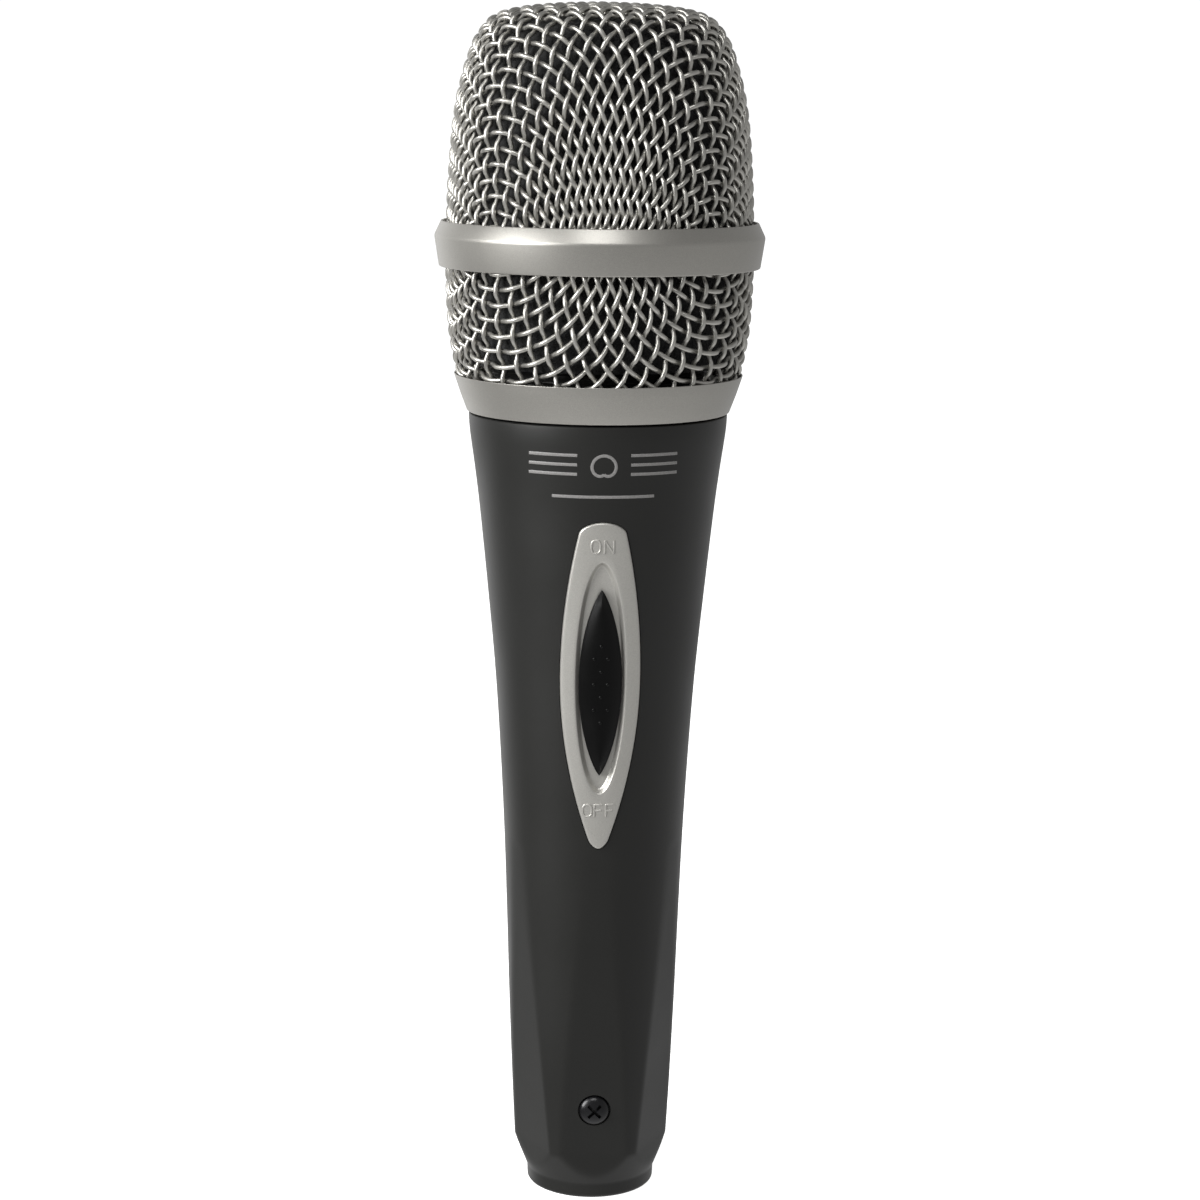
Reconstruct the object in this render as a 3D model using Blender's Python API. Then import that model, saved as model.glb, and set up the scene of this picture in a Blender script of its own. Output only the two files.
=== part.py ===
"""Handheld dynamic microphone with a slide switch and a three-pin tail socket.

Frame: the origin is on the microphone's axis at the tail's end plane, +Z runs
towards the head, and the switch faces -Y. Dimensions below are in millimetres.
"""
import math

import bmesh
import bpy
from mathutils import Matrix, Vector

MM = 0.001
GAP = 0.3                      # clearance kept between neighbouring solids

# ---- handle: heights above the tail plane and outer radii ----
HANDLE_PROFILE = ((8.0, 12.8), (18.7, 13.3), (32.8, 13.85), (46.8, 14.3), (60.6, 14.8), (74.3, 15.5),
                  (87.8, 16.4), (101.2, 17.65), (114.4, 19.0), (121.0, 19.8), (127.5, 20.7), (130.4, 20.9))
TAIL_RADIUS = 10.6
TAIL_EDGE = 0.6
TAIL_CHAMFER_FOOT = 2.6
SOCKET_BORE = 9.5              # radius of the tail bore that takes the connector insert
SOCKET_DEPTH = 20.5
WALL = 2.5
NECK_RADIUS = 17.6
NECK_BORE = 15.4
NECK_TOP = 140.8
FLATS_TOP = 60.0               # the six flats fade in below this height
FLATS_LENGTH = 54.0
FLATS_DEPTH = 0.109            # share of the radius that the flats take off at their foot
FLATS_POWER = 1.4

# ---- head: outer surface of the wire mesh, from collar to band and from band to apex ----
LOWER_MESH = ((135.9, 22.6), (138.5, 23.4), (143.7, 24.3), (150.1, 24.7), (156.1, 24.8))
UPPER_MESH = ((158.5, 24.7), (166.0, 24.5), (175.4, 23.8), (181.7, 22.8), (187.9, 21.0), (191.0, 19.4),
              (193.2, 17.2), (194.4, 13.5), (195.1, 7.5), (195.4, 0.0))
MESH_THICKNESS = 1.6
FOAM_THICKNESS = 3.2
FOAM_FOOT = 138.5
BAND_BORE = 25.1

# ---- switch plate, recess and knob: leaf outlines on the front of the handle ----
PLATE_FOOT, PLATE_TOP, PLATE_WIDEST = 61.4, 115.2, 90.0
PLATE_HALF_WIDTH = 6.4
PLATE_BOW_DOWN, PLATE_BOW_UP = 0.00651, 0.00483
PLATE_CAP_DOWN, PLATE_CAP_UP = 1.5, 1.8
PLATE_PROUD, PLATE_SINK = 0.35, 1.2
RECESS_FOOT, RECESS_TOP, RECESS_HALF_WIDTH = 70.7, 108.8, 4.05
RECESS_SINK = 0.55
KNOB_FOOT, KNOB_TOP, KNOB_HALF_WIDTH = 73.7, 104.3, 3.45
KNOB_SINK, KNOB_PROUD = 0.2, 1.1
SWITCH_TRAVEL = 2.0
STEM_HALF_WIDTH, STEM_FOOT, STEM_TOP = 0.9, 87.0, 90.0
BOSS_HEIGHTS = (79.0, 99.5)    # the two screw bosses on the plate's back

# ---- connector and screw ----
PIN_CIRCLE = 3.9
PIN_RADIUS = 1.2
INSERT_RADIUS = 9.2
INSERT_BORE = 8.2
SCREW_HEIGHT = 16.0
SCREW_HEAD = 2.45

ROUND = 36                     # sides of the large turned pieces
SMALL_ROUND = 24               # sides of the capsule's pieces


def clear_scene():
    for old in list(bpy.data.objects):
        bpy.data.objects.remove(old, do_unlink=True)


def material(name, colour, roughness, metallic=0.0):
    """A Principled material in linear colour."""
    made = bpy.data.materials.new(name)
    made.use_nodes = True
    shader = made.node_tree.nodes["Principled BSDF"]
    shader.inputs["Base Color"].default_value = (*colour, 1.0)
    shader.inputs["Roughness"].default_value = roughness
    shader.inputs["Metallic"].default_value = metallic
    return made


def between(profile, height):
    """Radius of a (height, radius) profile at a height."""
    if height <= profile[0][0]:
        return profile[0][1]
    for (z0, r0), (z1, r1) in zip(profile, profile[1:]):
        if height <= z1:
            return r0 + (r1 - r0) * (height - z0) / (z1 - z0)
    return profile[-1][1]


def finish(name, bm, finish_material, sharp_degrees=35.0):
    """Turn a bmesh in millimetres into a named, shaded object in metres."""
    bmesh.ops.remove_doubles(bm, verts=bm.verts, dist=1e-5)
    bmesh.ops.recalc_face_normals(bm, faces=bm.faces)
    bmesh.ops.scale(bm, vec=(MM, MM, MM), verts=bm.verts)
    mesh = bpy.data.meshes.new(name)
    bm.to_mesh(mesh)
    bm.free()
    made = bpy.data.objects.new(name, mesh)
    bpy.context.scene.collection.objects.link(made)
    if finish_material:
        mesh.materials.append(finish_material)
    mesh.shade_smooth()
    mesh.set_sharp_from_angle(angle=math.radians(sharp_degrees))
    return made


def turned_bmesh(outline, sides):
    """Spin a closed (radius, height) outline about the Z axis."""
    bm = bmesh.new()
    ring = [bm.verts.new((radius, 0.0, height)) for radius, height in outline]
    edges = [bm.edges.new((a, b)) for a, b in zip(ring, ring[1:] + ring[:1])
             if not (a.co.x < 1e-6 and b.co.x < 1e-6)]
    bmesh.ops.spin(bm, geom=ring + edges, cent=(0, 0, 0), axis=(0, 0, 1), angle=2 * math.pi,
                   steps=sides, use_merge=True, use_duplicate=False)
    return bm


def turned(name, outline, sides, finish_material):
    return finish(name, turned_bmesh(outline, sides), finish_material)


def inward(profile, distance):
    """Offset a rising (height, radius) profile towards the axis, along its own normal."""
    moved = []
    for i, (height, radius) in enumerate(profile):
        before, after = profile[max(i - 1, 0)], profile[min(i + 1, len(profile) - 1)]
        along = Vector((after[0] - before[0], after[1] - before[1])).normalized()
        if radius == 0.0:
            along = Vector((0.0, -1.0))
        moved.append((height + along.y * distance, max(radius - along.x * distance, 0.0)))
    return moved


def shell_outline(profile, thickness):
    """Closed (radius, height) outline of a turned shell whose outside is the profile."""
    inside = inward(profile, thickness)
    inside[0] = (profile[0][0], inside[0][1])
    return [(r, z) for z, r in profile] + [(r, z) for z, r in reversed(inside)]


def block_bmesh(low, high):
    bm = bmesh.new()
    size = [b - a for a, b in zip(low, high)]
    centre = [(a + b) / 2 for a, b in zip(low, high)]
    bmesh.ops.create_cube(bm, size=1.0, matrix=Matrix.Translation(centre) @ Matrix.Diagonal((*size, 1.0)))
    return bm


def block(name, low, high, finish_material):
    return finish(name, block_bmesh(low, high), finish_material)


def rod_bmesh(stations, sides, place):
    """Turned rod from (distance, radius) stations along local +Z, put in place by a matrix."""
    bm = turned_bmesh([(0.0, stations[0][0])] + [(r, d) for d, r in stations] + [(0.0, stations[-1][0])], sides)
    bmesh.ops.remove_doubles(bm, verts=bm.verts, dist=1e-5)
    bmesh.ops.transform(bm, matrix=place, verts=bm.verts)
    return bm


def along_y(x, z):
    """Placement whose local +Z runs along world +Y at a given x and z."""
    return Matrix.Translation((x, 0.0, z)) @ Matrix.Rotation(-math.pi / 2, 4, "X")


def cutter(made):
    made.hide_render = True
    made.display_type = "WIRE"
    return made


def boolean(target, tool, operation="DIFFERENCE"):
    step = target.modifiers.new(tool.name, "BOOLEAN")
    step.object = tool
    step.operation = operation
    step.solver = "EXACT"


# ---- leaf-shaped pieces that follow the handle's round front ----
def plate_half_width(z, spare=0.0):
    """Half-width of the plate: two parabolic sides, with rounded ends."""
    bow = PLATE_BOW_UP if z > PLATE_WIDEST else PLATE_BOW_DOWN
    width = PLATE_HALF_WIDTH - bow * (z - PLATE_WIDEST) ** 2
    into_cap = max((z - (PLATE_TOP - PLATE_CAP_UP)) / PLATE_CAP_UP,
                   ((PLATE_FOOT + PLATE_CAP_DOWN) - z) / PLATE_CAP_DOWN, 0.0)
    return width * math.sqrt(max(1.0 - min(into_cap, 1.0) ** 2, 0.0)) + spare


def oval_half_width(z, foot, top, half_width, power):
    middle, reach = (foot + top) / 2, (top - foot) / 2
    return half_width * max(1.0 - ((z - middle) / reach) ** 2, 0.0) ** power


def leaf_heights(foot, top, rows):
    """Heights from foot to top, closer together near the two ends."""
    middle, reach = (foot + top) / 2, (top - foot) / 2
    return [middle - reach * math.cos(math.pi * (i + 0.5) / rows) for i in range(rows)]


def leaf_bmesh(heights, half_width, front, back, columns):
    """Closed leaf: front and back surfaces given as radii, functions of height and the share across."""
    bm = bmesh.new()
    layers = []
    for surface in (front, back):
        rows = []
        for z in heights:
            row = []
            for i in range(columns + 1):
                share = 2.0 * i / columns - 1.0
                x = half_width(z) * share
                radius = surface(z, share)
                row.append(bm.verts.new((x, -math.sqrt(radius ** 2 - x ** 2), z)))
            rows.append(row)
        layers.append(rows)
        for lower, upper in zip(rows, rows[1:]):
            for i in range(columns):
                bm.faces.new((lower[i], lower[i + 1], upper[i + 1], upper[i]))
    outer, inner = layers
    rims = []
    for rows in (outer, inner):
        rims.append(rows[0] + [row[-1] for row in rows[1:-1]] + rows[-1][::-1] + [row[0] for row in rows[-2:0:-1]])
    for i in range(len(rims[0])):
        after = (i + 1) % len(rims[0])
        bm.faces.new((rims[0][i], rims[1][i], rims[1][after], rims[0][after]))
    return bm


def handle_radius(z):
    return between(HANDLE_PROFILE, z)


def flat_distance(z):
    """Distance from the axis to the six flats at a height."""
    share = max((FLATS_TOP - z) / FLATS_LENGTH, 0.0)
    return handle_radius(z) * (1.0 - FLATS_DEPTH * share ** FLATS_POWER)


# ---- sub-parts ----
def make_handle(finish_material):
    outline = [(SOCKET_BORE, 0.0), (TAIL_RADIUS - TAIL_EDGE, 0.0), (TAIL_RADIUS, TAIL_EDGE),
               (TAIL_RADIUS + 0.1, TAIL_CHAMFER_FOOT), (11.9, 5.6)]
    outline += [(r, z) for z, r in HANDLE_PROFILE]
    outline += [(NECK_RADIUS, HANDLE_PROFILE[-1][0]), (NECK_RADIUS, NECK_TOP - 0.6),
                (NECK_RADIUS - 0.5, NECK_TOP), (NECK_BORE, NECK_TOP)]
    bore_heights = (105.0, 92.0, 78.0, 60.0, 40.0, 24.0)
    outline += [(min(handle_radius(z) - WALL, NECK_BORE), z) for z in bore_heights]
    outline += [(SOCKET_BORE, SOCKET_DEPTH)]
    bm = turned_bmesh(outline, ROUND)
    for vert in bm.verts:
        radius = math.hypot(vert.co.x, vert.co.y)
        if vert.co.z >= FLATS_TOP or radius < 1e-6:
            continue
        turn = math.atan2(vert.co.x, -vert.co.y) % math.radians(60.0)
        local = min(turn, math.radians(60.0) - turn)
        pressed = min(radius, flat_distance(vert.co.z) / math.cos(local))
        vert.co.x *= pressed / radius
        vert.co.y *= pressed / radius
    handle = finish("handle_shell", bm, finish_material)

    pocket = leaf_bmesh(leaf_heights(PLATE_FOOT - GAP, PLATE_TOP + GAP, 20),
                        lambda z: plate_half_width(min(max(z, PLATE_FOOT), PLATE_TOP), GAP),
                        lambda z, s: handle_radius(z) + 3.0,
                        lambda z, s: handle_radius(z) - PLATE_SINK - GAP, 4)
    boolean(handle, cutter(finish("cut_pocket", pocket, None)))
    window = block_bmesh((-4.2, -30.0, 75.0), (4.2, -8.0, 103.0))
    boolean(handle, cutter(finish("cut_window", window, None)))
    front_flat = flat_distance(SCREW_HEIGHT)
    hole = rod_bmesh(((-20.0, SCREW_HEAD + GAP), (-front_flat + 0.9, SCREW_HEAD + GAP),
                      (-front_flat + 0.9, 1.6), (-7.0, 1.6)), 16, along_y(0.0, SCREW_HEIGHT))
    boolean(handle, cutter(finish("cut_screw_hole", hole, None)))
    return handle


def make_switch_plate(finish_material):
    plate = finish("switch_plate", leaf_bmesh(
        leaf_heights(PLATE_FOOT, PLATE_TOP, 22), plate_half_width,
        lambda z, s: handle_radius(z) + PLATE_PROUD - 0.25 * s ** 8,
        lambda z, s: handle_radius(z) - PLATE_SINK, 6), finish_material)
    for height in BOSS_HEIGHTS:
        root = PLATE_SINK - 0.3 - handle_radius(height)
        boss = turned_bmesh(((0.0, root), (1.7, root), (1.7, -12.9), (1.0, -12.9), (1.0, -14.4), (0.0, -14.4)), 12)
        bmesh.ops.transform(boss, matrix=along_y(0.0, height), verts=boss.verts)
        boolean(plate, cutter(finish("boss_%d" % height, boss, None)), "UNION")
    recess = leaf_bmesh(leaf_heights(RECESS_FOOT, RECESS_TOP, 16),
                        lambda z: oval_half_width(z, RECESS_FOOT, RECESS_TOP, RECESS_HALF_WIDTH, 0.5),
                        lambda z, s: handle_radius(z) + 2.0,
                        lambda z, s: handle_radius(z) - RECESS_SINK, 4)
    boolean(plate, cutter(finish("cut_recess", recess, None)))
    slot = block_bmesh((-1.3, -20.0, STEM_FOOT - 0.5), (1.3, -10.0, STEM_TOP + SWITCH_TRAVEL + 0.6))
    boolean(plate, cutter(finish("cut_slot", slot, None)))


def make_switch_knob(finish_material):
    crown = KNOB_PROUD - KNOB_SINK
    knob = finish("switch_knob", leaf_bmesh(
        leaf_heights(KNOB_FOOT, KNOB_TOP, 14),
        lambda z: oval_half_width(z, KNOB_FOOT, KNOB_TOP, KNOB_HALF_WIDTH, 0.8),
        lambda z, s: handle_radius(z) + KNOB_SINK + crown * (1.0 - s ** 2),
        lambda z, s: handle_radius(z) - KNOB_SINK, 6), finish_material)
    socket = block_bmesh((-1.2, -17.0, STEM_FOOT - GAP), (1.2, -10.0, STEM_TOP + GAP))
    boolean(knob, cutter(finish("cut_stem_socket", socket, None)))
    return knob


def make_switch_works(metal, nylon, phenolic, brass, steel):
    """The slide switch behind the plate: bracket, case, carriage, contact, board, blades and screws."""
    bracket = block("switch_bracket", (-3.5, -12.6, 76.2), (3.5, -11.8, 101.8), metal)
    slot = block_bmesh((-1.3, -20.0, STEM_FOOT - 0.5), (1.3, -11.0, STEM_TOP + SWITCH_TRAVEL + 0.6))
    boolean(bracket, cutter(finish("cut_bracket_slot", slot, None)))
    for name, height in zip(("switch_screw_lower", "switch_screw_upper"), BOSS_HEIGHTS):
        hole = rod_bmesh(((-14.0, 1.0), (-11.0, 1.0)), 12, along_y(0.0, height))
        boolean(bracket, cutter(finish("cut_" + name, hole, None)))
        screw = rod_bmesh(((-14.1, 0.7), (-11.5, 0.7), (-11.5, 1.6), (-10.8, 1.6), (-10.4, 1.1)), 12,
                          along_y(0.0, height))
        finish(name, screw, steel)

    case = block("switch_case", (-3.5, -11.5, 82.0), (3.5, -7.3, 96.5), metal)
    boolean(case, cutter(block("cut_case_inside", (-3.0, -11.0, 82.5), (3.0, -5.0, 96.0), None)))
    boolean(case, cutter(block("cut_case_slot", (-1.3, -13.0, STEM_FOOT - 0.5),
                               (1.3, -10.0, STEM_TOP + SWITCH_TRAVEL + 0.6), None)))

    slider = block("switch_slider", (-2.3, -10.5, 85.5), (2.3, -8.9, 91.5), nylon)
    stem = block_bmesh((-STEM_HALF_WIDTH, -16.7, STEM_FOOT), (STEM_HALF_WIDTH, -10.0, STEM_TOP))
    boolean(slider, cutter(finish("stem", stem, None)), "UNION")
    block("switch_contact", (-1.8, -8.6, 86.0), (1.8, -8.3, 91.0), brass)

    board = block("switch_board", (-3.3, -7.0, 82.0), (3.3, -6.0, 96.5), phenolic)
    for number, height in enumerate((84.5, 89.2, 94.0), start=1):
        through = block_bmesh((-0.8, -8.0, height - 0.9), (0.8, -5.0, height + 0.9))
        boolean(board, cutter(finish("cut_board_%d" % number, through, None)))
        block("switch_terminal_%d" % number, (-0.5, -7.7, height - 0.6), (0.5, -3.2, height + 0.6), brass)
    return slider


def make_connector(plastic, contact, steel):
    """Tail insert with three pins, and the screw that holds it in the handle."""
    floor, top, foot = 12.5, 19.5, 1.0
    insert = turned("xlr_insert", ((INSERT_BORE + 0.5, foot), (INSERT_RADIUS, foot), (INSERT_RADIUS, top),
                                   (0.0, top), (0.0, floor), (INSERT_BORE, floor), (INSERT_BORE, 6.5),
                                   (INSERT_BORE + 0.4, 6.3), (INSERT_BORE + 0.4, 4.6), (INSERT_BORE, 4.4),
                                   (INSERT_BORE, foot + 0.5)), ROUND, plastic)
    places = ((-PIN_CIRCLE, 0.0), (PIN_CIRCLE, 0.0), (0.0, PIN_CIRCLE))
    for number, (x, y) in enumerate(places, start=1):
        here = Matrix.Translation((x, y, 0.0))
        hole = rod_bmesh(((floor - 2.0, PIN_RADIUS + GAP), (top + 2.0, PIN_RADIUS + GAP)), 12, here)
        boolean(insert, cutter(finish("cut_pin_%d" % number, hole, None)))
        pin = rod_bmesh(((3.0, 0.6), (3.6, 1.0), (4.6, PIN_RADIUS), (24.0, PIN_RADIUS)), 12, here)
        finish("xlr_pin_%d" % number, pin, contact)
    tapped = rod_bmesh(((-12.0, 1.6), (-5.0, 1.6)), 12, along_y(0.0, SCREW_HEIGHT))
    boolean(insert, cutter(finish("cut_insert_thread", tapped, None)))

    seat = -flat_distance(SCREW_HEIGHT) + 0.9 - GAP
    screw = finish("insert_screw", rod_bmesh(
        ((seat - 1.55, 0.9), (seat - 1.4, 1.7), (seat - 0.9, SCREW_HEAD), (seat, SCREW_HEAD),
         (seat, 1.3), (-5.9, 1.3), (-5.4, 0.8)), 16, along_y(0.0, SCREW_HEIGHT)), steel)
    for number, turn in enumerate((45.0, 135.0)):
        blade = block_bmesh((-1.3, seat - 3.0, -0.28), (1.3, seat - 0.7, 0.28))
        bmesh.ops.transform(blade, verts=blade.verts,
                            matrix=Matrix.Translation((0, 0, SCREW_HEIGHT))
                            @ Matrix.Rotation(math.radians(turn), 4, "Y"))
        boolean(screw, cutter(finish("cut_cross_%d" % number, blade, None)))


def make_capsule(black, white, felt, film, copper, iron, ferrite, rubber):
    """Moving-coil capsule in its housing, held in the neck by a rubber mount."""
    turned("capsule_housing", ((3.4, 126.5), (9.8, 126.5), (9.8, 147.5), (14.2, 149.5), (15.2, 151.0),
                               (15.2, 163.4), (14.0, 163.4), (14.0, 151.6), (8.6, 149.4), (8.6, 127.9),
                               (3.4, 127.9)), SMALL_ROUND, black)
    turned("shock_mount", ((10.1, 131.0), (15.1, 131.0), (15.1, 141.1), (17.3, 141.1), (17.3, 143.4),
                           (15.6, 144.6), (11.4, 144.6), (10.1, 143.4)), SMALL_ROUND, rubber)
    turned("rear_felt", ((3.0, 144.0), (8.3, 144.0), (8.3, 145.2), (3.0, 145.2)), SMALL_ROUND, felt)
    turned("yoke_cup", ((0.0, 152.0), (9.6, 152.0), (9.6, 160.0), (8.2, 160.0), (8.2, 153.6), (0.0, 153.6)),
           SMALL_ROUND, iron)
    turned("magnet", ((0.0, 153.9), (5.6, 153.9), (5.6, 158.0), (0.0, 158.0)), SMALL_ROUND, ferrite)
    turned("pole_plate", ((0.0, 158.3), (6.2, 158.3), (6.2, 160.0), (0.0, 160.0)), SMALL_ROUND, iron)
    turned("capsule_frame", ((10.0, 152.2), (13.7, 152.2), (13.7, 161.7), (11.6, 161.7), (10.0, 160.2)),
           SMALL_ROUND, white)
    turned("diaphragm_ring", ((12.0, 163.4), (13.7, 163.4), (13.7, 164.6), (12.0, 164.6)), SMALL_ROUND, white)

    grid = turned("front_grid", ((14.0, 163.7), (15.2, 163.7), (15.2, 168.2), (14.6, 168.8), (0.0, 168.8),
                                 (0.0, 167.6), (14.0, 167.6)), SMALL_ROUND, black)
    hole_places = [(9.0 * math.cos(math.radians(a)), 9.0 * math.sin(math.radians(a)))
                   for a in range(5, 365, 45)]
    for number, (x, y) in enumerate(hole_places):
        hole = rod_bmesh(((166.0, 1.9), (170.0, 1.9)), 10, Matrix.Translation((x, y, 0.0)))
        boolean(grid, cutter(finish("cut_grid_%d" % number, hole, None)))

    rim, film_thickness = 162.35, 0.35
    shape = [(0.0, 1.25), (3.4, 0.95), (6.2, 0.2), (7.2, 0.0), (8.2, 0.55), (9.4, 0.85), (10.6, 0.55),
             (11.5, 0.0), (13.0, 0.0)]
    outline = [(r, rim + rise) for r, rise in shape] + \
              [(r, rim + rise + film_thickness) for r, rise in reversed(shape)]
    diaphragm = turned("diaphragm", outline, SMALL_ROUND, film)
    coil = turned("voice_coil", ((6.9, 157.2), (7.5, 157.2), (7.5, 161.9), (6.9, 161.9)), SMALL_ROUND, copper)
    return diaphragm, coil


def make_lead(name, points, radius, finish_material):
    """An insulated wire: a smooth curve through its points, sampled into a poly spline."""
    knots = [Vector(p) for p in points]
    knots = [2 * knots[0] - knots[1]] + knots + [2 * knots[-1] - knots[-2]]
    steps = 4
    route = []
    for a, b, c, d in zip(knots, knots[1:], knots[2:], knots[3:]):
        for i in range(steps):
            t = i / steps
            route.append(0.5 * (2 * b + (c - a) * t + (2 * a - 5 * b + 4 * c - d) * t ** 2
                                + (3 * b - a - 3 * c + d) * t ** 3))
    route.append(knots[-2])
    curve = bpy.data.curves.new(name, "CURVE")
    curve.dimensions = "3D"
    curve.bevel_depth = radius * MM
    curve.bevel_resolution = 1
    curve.use_fill_caps = True
    spline = curve.splines.new("POLY")
    spline.points.add(len(route) - 1)
    for point, place in zip(spline.points, route):
        point.co = (*(place * MM), 1.0)
    curve.materials.append(finish_material)
    made = bpy.data.objects.new(name, curve)
    bpy.context.scene.collection.objects.link(made)
    return made


def make_head(silver, steel_wire, rubber, foam):
    turned("grille_mesh_upper", shell_outline(UPPER_MESH, MESH_THICKNESS), ROUND, steel_wire)
    turned("grille_mesh_lower", shell_outline(LOWER_MESH, MESH_THICKNESS), ROUND, steel_wire)
    turned("grille_band", ((BAND_BORE, 153.8), (25.75, 153.8), (26.5, 158.7), (25.4, 161.0), (BAND_BORE, 161.0),
                           (BAND_BORE, 158.2), (23.2, 158.1), (23.2, 156.5), (BAND_BORE, 156.4)), ROUND, silver)
    turned("grille_collar", ((20.1, 130.7), (21.2, 130.7), (23.3, 136.7), (23.05, 136.7), (22.95, 135.6),
                             (18.0, 135.6), (18.0, 132.1), (20.1, 132.1)), ROUND, silver)
    turned("neck_seal", ((17.95, 130.7), (19.8, 130.7), (19.8, 131.8), (17.95, 131.8)), SMALL_ROUND, rubber)
    surface = [(z, r) for z, r in LOWER_MESH + UPPER_MESH if z >= FOAM_FOOT]
    core = inward(surface, MESH_THICKNESS + 0.5)
    core[0] = (FOAM_FOOT, core[0][1])
    turned("windscreen_foam", shell_outline(core, FOAM_THICKNESS), SMALL_ROUND, foam)


def put_origin(objects, point):
    """Move the objects' origins to a point, leaving their shapes where they are."""
    shift = Vector(point) * MM
    for made in objects:
        made.data.transform(Matrix.Translation(-shift))
        made.location = made.location + shift


def main():
    clear_scene()
    charcoal = material("charcoal_paint", (0.044, 0.044, 0.042), 0.5, 0.3)
    silver = material("satin_silver_paint", (0.42, 0.41, 0.39), 0.42, 0.85)
    wire = material("plated_wire", (0.52, 0.50, 0.46), 0.3, 0.95)
    black = material("black_plastic", (0.008, 0.008, 0.008), 0.4)
    knob_black = material("knob_plastic", (0.006, 0.006, 0.006), 0.5)
    white = material("white_plastic", (0.6, 0.6, 0.56), 0.5)
    foam = material("black_foam", (0.006, 0.006, 0.006), 0.95)
    rubber = material("black_rubber", (0.01, 0.01, 0.01), 0.8)
    steel = material("zinc_steel", (0.5, 0.5, 0.5), 0.35, 0.9)
    black_steel = material("blackened_steel", (0.01, 0.01, 0.01), 0.35, 0.6)
    brass = material("tinned_brass", (0.6, 0.5, 0.3), 0.35, 0.9)
    nickel = material("nickel_plate", (0.6, 0.58, 0.52), 0.25, 1.0)
    phenolic = material("phenolic_board", (0.2, 0.09, 0.03), 0.6)
    felt = material("grey_felt", (0.12, 0.12, 0.12), 0.95)
    film = material("clear_film", (0.5, 0.5, 0.48), 0.2)
    copper = material("copper_wire", (0.6, 0.22, 0.08), 0.35, 0.9)
    iron = material("plated_iron", (0.35, 0.35, 0.34), 0.4, 0.9)
    ferrite = material("magnet", (0.1, 0.1, 0.1), 0.6, 0.4)
    red = material("red_lead", (0.35, 0.02, 0.02), 0.5)
    green = material("green_lead", (0.02, 0.2, 0.05), 0.5)
    yellow = material("yellow_lead", (0.5, 0.35, 0.02), 0.5)
    lead_black = material("black_lead", (0.01, 0.01, 0.01), 0.5)

    make_handle(charcoal)
    make_switch_plate(silver)
    knob = make_switch_knob(knob_black)
    slider = make_switch_works(steel, white, phenolic, brass, steel)
    put_origin((knob, slider, bpy.data.objects["switch_contact"]), (0.0, -handle_radius(89.0), 89.0))
    make_connector(black, nickel, black_steel)
    diaphragm, coil = make_capsule(black, white, felt, film, copper, iron, ferrite, rubber)
    put_origin((diaphragm, coil), (0.0, 0.0, 162.35))
    make_head(silver, wire, rubber, foam)

    lead = 0.5
    make_lead("lead_capsule_hot", ((1.6, 0.0, 143.0), (1.8, 0.4, 130.0), (1.6, -0.2, 116.0), (0.6, -1.6, 103.0),
                                   (0.0, -2.3, 96.0), (0.0, -2.4, 93.5)), lead, red)
    make_lead("lead_capsule_cold", ((-1.6, 0.0, 143.0), (-1.8, 0.3, 128.0), (-2.4, -0.6, 100.0),
                                    (-2.6, -0.8, 70.0), (-2.0, -0.2, 45.0), (-0.8, 1.6, 32.0),
                                    (0.0, 3.9, 27.0), (0.0, 3.9, 24.4)), lead, green)
    make_lead("lead_switch_hot", ((1.1, -4.2, 89.2), (2.4, -3.4, 88.0), (2.8, -2.4, 80.0), (2.6, -1.4, 60.0),
                                  (2.8, -0.8, 40.0), (3.9, -0.2, 29.0), (3.9, 0.0, 24.4)), lead, yellow)
    make_lead("lead_ground", ((-1.1, -4.2, 84.5), (-1.9, -3.8, 83.0), (-2.0, -3.2, 76.0), (-2.6, -3.0, 58.0),
                              (-3.2, -2.0, 40.0), (-3.9, -0.4, 29.0), (-3.9, 0.0, 24.4)), lead, lead_black)


main()
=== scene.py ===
"""Looks of a handheld dynamic microphone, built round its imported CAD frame.

Lengths in this script are millimetres until a mesh is made; the frame is in metres.
The origin is on the axis at the tail's end, +Z runs to the head, the switch faces -Y.
"""
import math

import bmesh
import bpy
import numpy as np
from mathutils import Matrix, Vector


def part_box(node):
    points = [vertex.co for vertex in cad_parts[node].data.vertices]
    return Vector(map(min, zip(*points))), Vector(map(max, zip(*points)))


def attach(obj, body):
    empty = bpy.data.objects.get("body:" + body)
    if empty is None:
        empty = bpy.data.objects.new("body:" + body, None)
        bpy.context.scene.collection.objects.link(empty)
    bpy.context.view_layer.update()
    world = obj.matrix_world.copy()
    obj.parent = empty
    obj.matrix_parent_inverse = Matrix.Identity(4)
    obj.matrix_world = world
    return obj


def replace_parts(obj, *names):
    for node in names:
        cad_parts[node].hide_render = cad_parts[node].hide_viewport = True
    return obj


MM = 0.001

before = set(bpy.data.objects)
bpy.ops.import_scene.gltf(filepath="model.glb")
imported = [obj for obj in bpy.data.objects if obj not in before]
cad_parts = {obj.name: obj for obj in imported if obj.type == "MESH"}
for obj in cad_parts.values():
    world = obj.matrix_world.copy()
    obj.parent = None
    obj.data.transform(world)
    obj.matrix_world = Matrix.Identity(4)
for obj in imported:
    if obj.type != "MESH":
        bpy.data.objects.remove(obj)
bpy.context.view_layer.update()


def span(node):
    """Lowest and highest corner of a CAD node, in millimetres."""
    low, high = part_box(node)
    return np.array(low) / MM, np.array(high) / MM


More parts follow.
